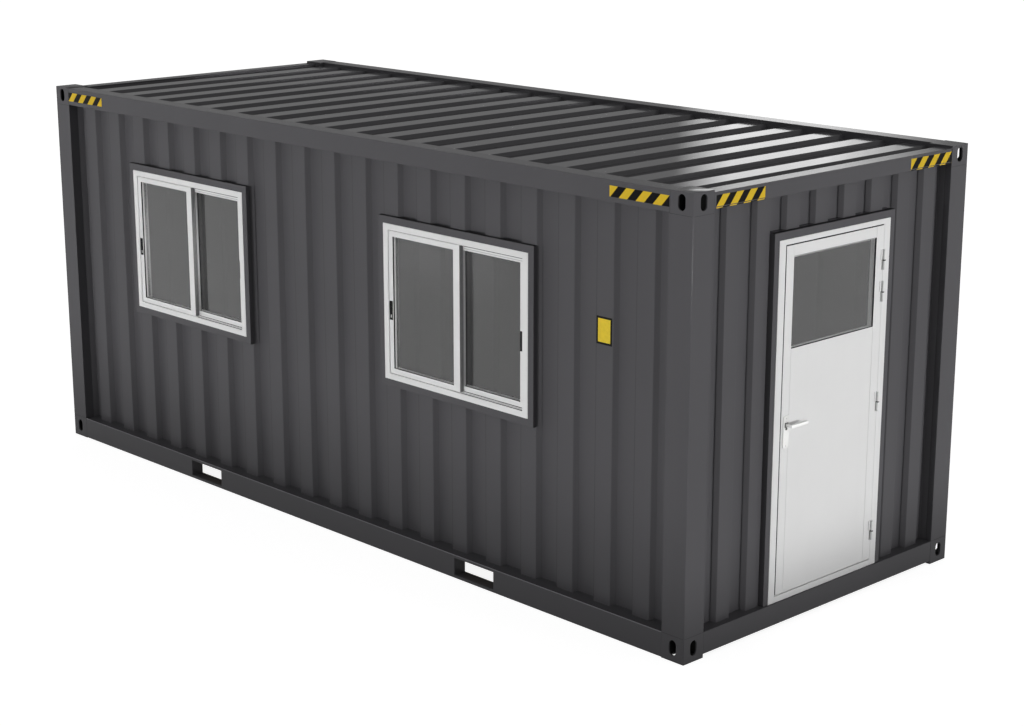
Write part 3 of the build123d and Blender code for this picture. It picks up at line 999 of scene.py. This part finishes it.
@dataclass
class SlidingWindow:
    """One sliding window: frame, two sashes, beads, seals, tracks and latch sliders."""

    side: str
    finishes: Finishes
    jamb: float = 0.044
    head: float = 0.037
    stile: float = 0.037
    rail: float = 0.034
    meeting: float = 0.054
    rear_meeting: float = 0.035
    glass_setback: float = 0.019
    pane: float = 0.005
    seal_section: tuple[Span, ...] = ((0, 0.009), (0, 0.001), (0.0015, 0.002), (0.0015, 0.009))
    bead_section: tuple[Span, ...] = ((0, 0), (0.006, 0), (0.006, 0.001), (0.003, 0.004), (0, 0.004))
    cover: float = 0.014
    thin: float = 0.0005
    # Inset and levels of the painted shade strip on the meeting stile's side face.
    painted_shade_end: float = 0.002
    painted_shade_levels: Span = (0.028, 0.0015)
    catch_reach: Span = (0.002, 0.0045)
    catch_rise: float = 0.003
    slope_section: tuple[Span, ...] = ((0.0, 0.0), (0.0, 0.009), (0.006, 0.002), (0.006, 0.0))
    slider_rise: float = 0.014
    # half width, foot, top, back, front and edge of each plate
    slider_plates: tuple[tuple[float, ...], ...] = (
        (0.006, 0.0, 0.021, 0.001, 0.002, 0.0004),
        (0.005, 0.004, 0.006, 0.002, 0.0027, 0.0003),
        (0.005, 0.009, 0.011, 0.002, 0.0027, 0.0003),
        (0.005, 0.014, 0.016, 0.002, 0.0027, 0.0003),
    )
    lip_drop: tuple[float, ...] = (0.0125, 0.024, 0.027)
    lip_levels: Span = (0.0005, 0.0045)
    # Depth of the painted shade strip under the head lip.
    under_lip_shade_depth: float = 0.0025
    track_gap: float = 0.001
    rib_rise: float = 0.007
    rib_levels: Span = (0.012, 0.015)
    # rise, start and depth of each painted shade line in a groove of the track
    track_shade_lines: tuple[tuple[float, ...], ...] = (
        (0.006, 0.0005, 0.0015), (0.003, 0.015, 0.0015), (0.0006, 0.024, 0.007),
    )

    def build(self) -> None:
        """Dress the window and add its beads, seals, sliders and strips of painted shade."""
        name, done, thin = f"window_{self.side}_", self.finishes, self.thin
        dress((name + "surround",), done.frame, edge=0.002)
        dress((name + "frame", name + "front_sash", name + "rear_sash"), done.white, edge=0.0015)
        dress((name + "panes",), done.glass)
        beads, seals, sliders, painted_shades = Shape(), Shape(), Shape(), Shape()
        edge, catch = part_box(name + "front_sash")[1].x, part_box("window_latches")
        faces = {"front_sash": (self.stile, self.meeting), "rear_sash": (self.rear_meeting, self.stile)}
        for sash, (left, right) in faces.items():
            low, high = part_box(name + sash)
            along, up = (low.x + left, high.x - right), (low.z + self.rail, high.z - self.rail)
            front = -low.y
            glass = front - self.glass_setback
            seals.ring(along, up, [(inset, front - depth) for inset, depth in self.seal_section])
            beads.ring(along, up, [(inset, glass - self.pane - depth) for inset, depth in self.bead_section])
            if sash == "front_sash":
                middle, base = low.x + self.stile / 2, catch[0].z + self.slider_rise
                for half, foot, top, back, face, rounding in self.slider_plates:
                    rise = (base + foot, base + top)
                    sliders.plate(about(middle, half), rise, (front + back, front + face), rounding)
                section = [(along[0] + inset, glass + out) for inset, out in self.slope_section]
                beads.loops([[beads.face.place(a, level, out) for a, out in section] for level in up], False)
                # Painted shade: a grey strip on the front sash's meeting side face, where the white profile lies
                # in shade.
                deep, shallow = self.painted_shade_levels
                full = (low.z + self.painted_shade_end, high.z - self.painted_shade_end)
                painted_shades.plate((edge, edge + thin), full, (front - deep, front - shallow))
            else:
                strip = along[1] - self.cover
                beads.plate((along[0], edge - thin), up, (glass, front), thin)
                beads.plate((strip, along[1]), up, (glass, front), thin)
                seals.plate(about(edge, thin), up, (glass, glass + self.pane))
                bar = (strip + self.catch_reach[0], along[1] + self.catch_reach[1])
                seals.plate(bar, (catch[0].z, catch[1].z), (front, front + self.catch_rise), thin)
        low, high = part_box(name + "surround")
        wall = -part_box("front_wall_right")[0].y
        # Painted shade: a dark strip on the surround's top face, which lies in shade.
        seals.plate(*painted_top_shade((low.x, high.x), high.z, (wall, -low.y)))
        painted_shades.fix(name + "meeting_painted_shade", [done.painted_shade], Slot.PLASTIC)
        beads.fix(name + "glazing_beads", [done.white], Slot.WHITE)
        seals.fix(name + "glazing_seals_and_top_shade", [done.rubber], Slot.PLASTIC)
        sliders.fix(name + "latch_sliders", [done.slider], Slot.PLASTIC)
        self.tracks(name)

    def tracks(self, name: str) -> None:
        """Add the lip under the head, and dark strips of painted shade above and below it and in the grooves of
        the empty front track.

        Args:
            name: Start of the window's node names.
        """
        low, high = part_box(name + "frame")
        rear = -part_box(name + "rear_sash")[0].y
        along = (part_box(name + "front_sash")[1].x + self.track_gap, high.x - self.jamb)
        top, sill = high.z - self.head, low.z + self.head
        upper, lower, under = (top - drop for drop in self.lip_drop)
        lip_out = tuple(rear + level for level in self.lip_levels)
        rib_out = tuple(rear + level for level in self.rib_levels)
        lip, lines = Shape(), Shape()
        lip.plate(along, (lower, upper), lip_out, self.thin)
        lip.plate(along, (sill, sill + self.rib_rise), rib_out, self.thin)
        # Painted shade: dark strips over and under the lip and in the empty track's grooves, where these gaps lie
        # in shade.
        lines.plate(along, (upper, top), lip_out, 0.0, 1)
        lines.plate(along, (under, lower), (rear, rear + self.under_lip_shade_depth), self.thin)
        for rise, start, depth in self.track_shade_lines:
            lines.plate(along, (sill, sill + rise), (rear + start, rear + start + depth), 0.0, 1)
        lip.fix(name + "head_lip", [self.finishes.white], Slot.WHITE)
        lines.fix(name + "track_painted_shade", [self.finishes.painted_shade, self.finishes.rubber], Slot.PLASTIC)


@dataclass
class GlazedDoor:
    """The door: portal, frame, leaf, glazing, hinges and handle set."""

    finishes: Finishes
    pane_half: float = 0.371
    pane_levels: Span = (1.621, 2.141)
    bead_section: tuple[Span, ...] = ((0, 0), (0.010, 0), (0.010, 0.003), (0.004, 0.009), (0, 0.009))
    gasket: float = 0.004
    gasket_lip: tuple[Span, ...] = ((0, 0.0005), (0.0025, 0.0015))
    clear_half: float = 0.443
    clear_levels: Span = (0.187, 2.211)
    seal_lip: float = 0.0045
    seal_depths: Span = (0.022, 0.002)
    seal_edge: float = 0.001
    foot_depth: float = 0.009
    hinge_lip: float = 0.0062
    hinge_depth: float = 0.0008
    hinge_edge: float = 0.0005
    edging: float = 0.0006
    edging_depths: Span = (0.036, 0.001)
    spindle: float = -0.398
    lever_level: float = 1.191
    # Half size of the painted shade ring round the spindle.
    rose_shade: float = 0.0135
    key_level: float = 1.169
    hinge_shares: tuple[float, ...] = (0.0885, 0.483, 0.8085, 0.901)
    barrel: float = 0.007
    barrel_out: float = 0.0085
    washer: tuple[Span, ...] = ((0.0068, -0.006), (0.0082, -0.006), (0.0082, 0.0), (0.0068, 0.0))
    washer_sides: int = 20
    shade_insets: Span = (0.0018, 0.0003)
    # foot and top from the split, and rise
    shade_rows: tuple[tuple[float, ...], ...] = ((-0.06, -0.001, 0.0010), (0.001, 0.06, 0.0046))
    key_profile: tuple[Span, ...] = ((0.007, 0.0), (0.007, 0.002), (0.006, 0.003), (0.0005, 0.003))
    key_slot: Span = (0.001, 0.005)
    key_slot_levels: Span = (0.003, 0.0033)
    rose_shade_section: tuple[Span, ...] = ((0, 0), (0, 0.0015), (0.004, 0.0015), (0.004, 0))
    screw_profile: tuple[Span, ...] = ((0.0042, 0.0), (0.0040, 0.001), (0.0028, 0.0017), (0.0004, 0.0018))
    screw_end: float = 0.014

    def build(self) -> None:
        """Dress the door and add its beads, seals and lock."""
        done = self.finishes
        dress(("door_surround",), done.frame, edge=0.002)
        dress(("door_frame", "door_leaf"), done.white, edge=0.0015)
        dress(("door_hinge_frame_halves", "door_hinge_leaf_halves"), done.white, edge=0.0008)
        dress(("door_pane",), done.glass)
        dress(("door_handle_plates",), done.dull, edge=0.0008)
        dress(("door_lever",), done.metal, edge=0.0008)
        dress(("window_latches",), done.black, edge=0.0006)
        self.glazing()
        self.weather_seal()
        self.leaf_edging()
        self.hinge_seal()
        self.washers()
        self.lock()

    def glazing(self) -> None:
        """Add the gasket outside the pane and the beads inside it."""
        low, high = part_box("door_pane")
        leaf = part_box("door_leaf")[1].x
        along = about(0.0, self.pane_half)
        beads, seals = Shape(Face.DOOR_END), Shape(Face.DOOR_END)
        lip = [(inset, leaf - depth) for inset, depth in self.gasket_lip]
        beads.ring(along, self.pane_levels, [(inset, low.x - depth) for inset, depth in self.bead_section])
        seals.ring(along, self.pane_levels, [(0, high.x), *lip, (self.gasket, high.x)])
        beads.fix("door_glazing_beads", [self.finishes.white], Slot.WHITE, Body.DOOR)
        seals.fix("door_glazing_seal", [self.finishes.rubber], Slot.PLASTIC, Body.DOOR)

    def weather_seal(self) -> None:
        """Add the rubber seal in the gap at the lock side and the top, and a dark strip of painted shade on top of
        the portal.
        """
        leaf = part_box("door_leaf")[1].x
        half, (base, top), lip = self.clear_half, self.clear_levels, self.seal_lip
        back, front = (leaf - depth for depth in self.seal_depths)
        seal = Shape(Face.DOOR_END)
        seal.plate((-half, -half + lip), (base, top), (back, front), self.seal_edge)
        seal.plate(about(0.0, half - lip), (top - lip, top), (back, front), self.seal_edge)
        low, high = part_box("door_surround")
        # Painted shade: a dark strip on the surround's top face, which lies in shade.
        seal.plate(*painted_top_shade((low.y, high.y), high.z, (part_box("door_wall_over")[1].x, high.x)))
        seal.fix("door_weather_seal_and_top_shade", [self.finishes.rubber], Slot.PLASTIC)

    def leaf_edging(self) -> None:
        """Edge the leaf with rubber at the lock side and the top."""
        low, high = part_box("door_leaf")
        out = tuple(high.x - depth for depth in self.edging_depths)
        edge = Shape(Face.DOOR_END)
        edge.plate((low.y - self.edging, low.y), (low.z, high.z), out)
        edge.plate((low.y, high.y), (high.z, high.z + self.edging), out)
        edge.fix("door_leaf_edging", [self.finishes.rubber], Slot.PLASTIC, Body.DOOR)

    def hinge_seal(self) -> None:
        """Add the pale strip in the gap at the hinges and the foot."""
        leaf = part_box("door_leaf")[1].x
        half, (base, top), lip = self.clear_half, self.clear_levels, self.seal_lip
        back, cover = leaf - self.seal_depths[0], Shape(Face.DOOR_END)
        foot, strip = (back, leaf - self.foot_depth), (back, leaf - self.hinge_depth)
        cover.plate(about(0.0, half - lip), (base, base + lip), foot, self.seal_edge)
        cover.plate((half - self.hinge_lip, half), (base, top), strip, self.hinge_edge)
        cover.fix("door_hinge_seal", [self.finishes.white], Slot.WHITE)

    def washers(self) -> None:
        """Add a dark washer at the split of every hinge and dark strips beside it, painted shade for the gap
        between leaf and frame.
        """
        hinge, (low, high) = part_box("door_hinge_frame_halves")[0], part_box("door_leaf")
        mid_x, mid_y = hinge.x + self.barrel_out, hinge.y + self.barrel
        turns = [math.tau * step / self.washer_sides for step in range(self.washer_sides)]
        washers, shade_strips = Shape(Face.DOOR_END), Shape(Face.DOOR_END)
        along = tuple(mid_y - self.barrel_out - inset for inset in self.shade_insets)
        for share in self.hinge_shares:
            split = low.z + share * (high.z - low.z)
            washers.loops([
                [Vector((mid_x + r * math.cos(t), mid_y + r * math.sin(t), split + level)) for t in turns]
                for r, level in self.washer
            ])
            # Painted shade: dark strips at the side of each hinge barrel.
            for foot, top, rise in self.shade_rows:
                shade_strips.plate(along, (split + foot, split + top), (high.x, high.x + rise))
        shade_strips.fix("door_hinge_shade_strips", [self.finishes.rubber], Slot.PLASTIC, Body.DOOR)
        washers.fix("door_hinge_washers", [self.finishes.black], Slot.PLASTIC)

    def lock(self) -> None:
        """Add the lock cylinder, a dark ring of painted shade round the lever's spindle, and the screws of both
        handle plates.
        """
        low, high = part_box("door_handle_plates")
        lock, at = Shape(Face.DOOR_END), self.spindle
        for face, way in ((high.x, 1), (low.x, -1)):
            key, rose_shade, screw = (
                [(inset, face + way * out) for inset, out in points]
                for points in (self.key_profile, self.rose_shade_section, self.screw_profile)
            )
            lock.turned(at, self.key_level, key, sides=24, slot=1)
            # Painted shade: a black ring round the spindle where the lever's rose casts shade.
            lock.ring(about(at, self.rose_shade), about(self.lever_level, self.rose_shade), rose_shade, 1)
            slot = ordered(*(face + way * level for level in self.key_slot_levels))
            lock.plate(about(at, self.key_slot[0]), about(self.key_level, self.key_slot[1]), slot)
            for level in (low.z + self.screw_end, high.z - self.screw_end):
                lock.turned(at, level, screw, sides=12)
        lock.fix("door_lock_and_rose_shade", [self.finishes.zinc, self.finishes.black], Slot.METAL, Body.DOOR)


@dataclass
class Markings:
    """Warning stripes at the upper corners and the bare yellow plate."""

    finishes: Finishes
    yellow: Colour = (0.615, 0.42, 0.027)
    black: Colour = (0.004, 0.004, 0.004)
    levels: Span = (2.499, 2.559)
    lip_levels: Span = (2.4895, 2.4945)
    film: float = 0.0006
    film_edge: float = 0.0002
    turns: float = 3.5
    plate_along: Span = (2.287, 2.404)
    plate_up: Span = (1.657, 1.814)
    plate_border: float = 0.012
    plate_levels: Span = (0.0008, 0.0010)

    def build(self) -> None:
        """Lay the four films and the plate."""
        side, end = -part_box("front_top_rail")[0].y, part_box("door_end_header")[1].x
        self.band("window_side_left", Face.WINDOW_SIDE, side, (-2.866, -2.441), False)
        self.band("window_side_right", Face.WINDOW_SIDE, side, (2.437, 2.863), True)
        self.band("door_end_left", Face.DOOR_END, end, (-1.039, -0.645), False)
        self.band("door_end_right", Face.DOOR_END, end, (0.657, 1.053), True)
        self.plate()

    def band(self, name: str, face: Face, level: float, along: Span, turned: bool) -> None:
        """Lay one striped film.

        Args:
            name: Name of the film.
            face: Face that carries it.
            level: Level of that face.
            along: Limits along the face.
            turned: Whether the pattern starts from the far upper corner.
        """
        period = (along[1] - along[0]) / self.turns
        origin = along[1] - period * (StripeFilm.lean_share + 0.5) if turned else along[0]
        axis = "X" if face is Face.WINDOW_SIDE else "Y"
        film = StripeFilm(f"stripes_{name}", axis, origin, self.levels[0], period, self.yellow, self.black)
        shape, out = Shape(face), (level, level + self.film)
        shape.plate(along, self.levels, out, self.film_edge)
        if face is Face.DOOR_END:
            shape.plate(along, self.lip_levels, out, self.film_edge)
        shape.fix(f"stripes_{name}", [film.material()], Slot.FRAME)

    def plate(self) -> None:
        """Fix the bare yellow plate with its black border."""
        face, border = -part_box("front_wall_right")[0].y, self.plate_border
        back, front = (face + level for level in self.plate_levels)
        shape = Shape()
        shape.plate(self.plate_along, self.plate_up, (face, back), 0.0003, 1)
        along, up = ((low + border, high - border) for low, high in (self.plate_along, self.plate_up))
        shape.plate(along, up, (back, front))
        shape.fix("height_plate", [self.finishes.yellow_plate, self.finishes.black], Slot.WALL)


@dataclass
class FloorScrews:
    """Countersunk screws that hold the floor to its cross members."""

    finishes: Finishes
    # start, end and number of rows
    bays: tuple[tuple[float, float, int], ...] = (
        (-2.929, -1.6865, 4), (-1.0255, 1.0255, 7), (1.6865, 2.929, 4),
    )
    per_row: int = 7
    margin: float = 0.1
    head: float = 0.006
    rise: float = 0.0008

    def build(self) -> None:
        """Set the rows of screws."""
        low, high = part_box("floor")
        width = high.y - low.y - 2 * self.margin
        points = []
        for start, end, count in self.bays:
            for row in range(count):
                x = start + (end - start) * (row + 0.5) / count
                for place in range(self.per_row):
                    points.append(Vector((x, (place / (self.per_row - 1) - 0.5) * width, high.z)))
        sizes = {"Radius": self.head, "Height": self.rise, "Finish": self.finishes.zinc}
        screws = ScrewTree().grow("floor_screws", points, [], sizes)
        settle(show("floor_screws", screws), Body.CABIN)


@dataclass
class Studio:
    """Pale floor, white surround and soft lamps."""

    ambient: float = 0.37
    behind: float = 0.29
    behind_from: float = 0.35
    side_key: float = 1.68
    end_key: float = 1.92
    back_sun: float = 0.85
    beam_distance: float = 9.0
    flag_levels: Span = (2.60, 3.6)
    rim_steps: int = 9
    rim_widths: Span = (1.0, 3.4)
    rim_height: float = 2.5
    rim_power: float = 1.78
    rim_first: Colour = (-6.25, 11.35, 4.8)
    rim_step: Colour = (-0.093, 0.118, 0)
    rim_aside: Colour = (0.785, 0.62, 0)
    rim_slide: Span = (-0.27, 0.0525)
    rim_target: Colour = (1.5, 0.3, 2.56)
    floor_reach: float = 60.0

    def build(self) -> None:
        """Lay the floor and set the light."""
        bpy.context.scene.view_settings.view_transform = "Standard"
        self.floor()
        self.surround()
        self.beam("side_light", Vector((0, -1.2, 2.2)), Vector((-0.03, -1, 0.062)), (8.6, 3.6), self.side_key, 10)
        self.beam("end_light", Vector((3.0, 0, 2.05)), Vector((0.965, 0.26, 0.06)), (5.2, 3.6), self.end_key, 6)
        self.flag("side_flag", Face.WINDOW_SIDE, (-3.5, 3.4), 1.26)
        self.flag("end_flag", Face.DOOR_END, (-1.4, 1.6), 3.07)
        self.sun("back_light", (-0.7, 0.7, 0.35), self.back_sun, 20.0)
        self.rims()
        self.panel("left_panel", Vector((-8.0, -6.0, 3.0)), Vector((-2.6, -1.2, 1.4)), (2.0, 2.0), 15.0)

    def rims(self) -> None:
        """Hang the row of panels behind the cabin that shine on the roof."""
        narrow, wide = self.rim_widths
        for step in range(self.rim_steps):
            slide = self.rim_slide[0] + self.rim_slide[1] * step
            place = Vector(self.rim_first) + Vector(self.rim_step) * step + Vector(self.rim_aside) * slide
            width = narrow + (wide - narrow) * step / (self.rim_steps - 1)
            size, power = (width, self.rim_height), self.rim_power * width
            self.panel(f"rim_light_{step}", place, Vector(self.rim_target), size, power)

    def sheet(self, name: str, corners: Sequence[Vector]) -> bpy.types.Object:
        """Put a flat sheet with four corners into the scene."""
        data = bpy.data.meshes.new(name)
        data.from_pydata(corners, [], [(0, 1, 2, 3)])
        return show(name, data)

    def flag(self, name: str, face: Face, along: Span, out: float) -> None:
        """Hang a flag that only keeps a beam's light off the roof.

        Args:
            name: Name of the flag.
            face: Face that it hangs before.
            along: Limits along that face.
            out: Distance outwards from the middle of the cabin.
        """
        (left, right), (low, high) = along, self.flag_levels
        places = ((left, low), (right, low), (right, high), (left, high))
        flag = self.sheet(name, [face.place(place, level, out) for place, level in places])
        for ray in ("camera", "diffuse", "glossy", "transmission"):
            setattr(flag, "visible_" + ray, False)

    def beam(self, name: str, target: Vector, towards: Vector, size: Span, power: float, spread: float) -> None:
        """Hang one gridded panel whose light leaves it almost straight.

        Args:
            name: Name of the panel.
            target: Point that the panel's middle faces.
            towards: Direction from that point to the panel.
            size: Width and height in metres.
            power: Irradiance in watts per square metre.
            spread: Angle that the grid lets through, in degrees.
        """
        place = target + towards.normalized() * self.beam_distance
        lamp = self.panel(name, place, target, size, power * size[0] * size[1])
        lamp.data.spread = math.radians(spread)

    def floor(self) -> None:
        """Lay a plain pale floor that stays white to the camera and keeps the contact shadow."""
        tree = ShaderTree("pale_floor")
        path = tree.add("LightPath").outputs
        seen = tree.maths("MAXIMUM", path["Is Camera Ray"], path["Is Glossy Ray"])
        seen = tree.maths("MAXIMUM", seen, path["Is Transmission Ray"])
        matt = tree.add("BsdfDiffuse", {"Color": (0.82, 0.82, 0.82, 1)})
        pale = tree.add("BsdfDiffuse", {"Color": (0.37, 0.37, 0.37, 1)})
        glow = tree.add("Emission", {"Color": (1, 1, 1, 1), "Strength": 0.90})
        both = tree.add("AddShader", {0: pale.outputs[0], 1: glow.outputs[0]})
        mixed = tree.add("MixShader", {0: seen, 1: matt.outputs[0], 2: both.outputs[0]})
        reach = self.floor_reach
        corners = ((-reach, -reach), (reach, -reach), (reach, reach), (-reach, reach))
        floor = self.sheet("pale_floor", [Vector((x, y, 0)) for x, y in corners])
        floor.data.materials.append(tree.close(mixed))

    def surround(self) -> None:
        """Make the world white to the eye, in gloss and through glass, and a soft fill elsewhere."""
        tree = ShaderTree("white_surround", world=True)
        path = tree.add("LightPath").outputs
        heading = tree.add("TexCoord").outputs["Generated"]
        depth = tree.add("SeparateXYZ", {0: heading}).outputs["Y"]
        gloss = tree.span(depth, 0.0, self.behind_from, 1.0, self.behind)
        shiny = tree.add("Mix", {"Factor": path["Is Glossy Ray"], "A": self.ambient, "B": gloss})
        clear = tree.maths("MAXIMUM", path["Is Camera Ray"], path["Is Transmission Ray"])
        seen = tree.add("Mix", {"Factor": clear, "A": shiny.outputs[0], "B": 1.0})
        ground = tree.add("Background", {"Color": (1, 1, 1, 1), "Strength": seen.outputs[0]})
        bpy.context.scene.world = tree.close(ground)

    def sun(self, name: str, towards: Colour, power: float, width: float) -> None:
        """Hang one far lamp.

        Args:
            name: Name of the lamp.
            towards: Direction from the cabin to the lamp.
            power: Irradiance in watts per square metre.
            width: Angle that the lamp covers, in degrees.
        """
        data = bpy.data.lights.new(name, "SUN")
        data.energy = power
        data.angle = math.radians(width)
        lamp = show(name, data)
        lamp.rotation_euler = Vector(towards).to_track_quat("Z", "Y").to_euler()
        lamp.visible_glossy = False

    def panel(self, name: str, place: Vector, target: Vector, size: Span, power: float) -> bpy.types.Object:
        """Hang one soft panel.

        Args:
            name: Name of the panel.
            place: Middle of the panel.
            target: Point that it faces.
            size: Width and height in metres.
            power: Power in watts.

        Returns:
            The panel.
        """
        data = bpy.data.lights.new(name, "AREA")
        data.shape = "RECTANGLE"
        data.size, data.size_y = size
        data.energy = power
        lamp = show(name, data)
        lamp.location = place
        lamp.rotation_euler = (place - target).to_track_quat("Z", "Y").to_euler()
        return lamp


@dataclass
class Camera:
    """Camera at the viewing angle of the picture."""

    place: Colour = (9.8671, -9.0506, 4.4318)
    azimuth: float = 46.241
    elevation: float = 14.793
    focal_pixels: float = 2057.3
    image_width: float = 1024.0
    sensor: float = 36.0
    far: float = 200.0

    def build(self) -> None:
        """Make the camera and look through it."""
        data = bpy.data.cameras.new("view")
        data.sensor_width = self.sensor
        data.lens = self.focal_pixels / self.image_width * self.sensor
        data.clip_end = self.far
        az, el = math.radians(self.azimuth), math.radians(self.elevation)
        back = Vector((math.sin(az) * math.cos(el), -math.cos(az) * math.cos(el), math.sin(el)))
        right = Vector((math.cos(az), math.sin(az), 0))
        turn = Matrix((right, back.cross(right), back)).transposed().to_4x4()
        camera = show("view", data)
        camera.matrix_world = Matrix.Translation(self.place) @ turn
        bpy.context.scene.camera = camera


def main() -> None:
    """Build the cabin's looks in order."""
    logging.basicConfig(level=logging.INFO, format="%(name)s: %(message)s")
    Camera().build()
    Studio().build()
    finishes = Finishes()
    SteelFrame(finishes).build()
    Walls(finishes).build()
    for side in ("left", "right"):
        SlidingWindow(side, finishes).build()
    GlazedDoor(finishes).build()
    Markings(finishes).build()
    FloorScrews(finishes).build()


if __name__ == "__main__":
    main()
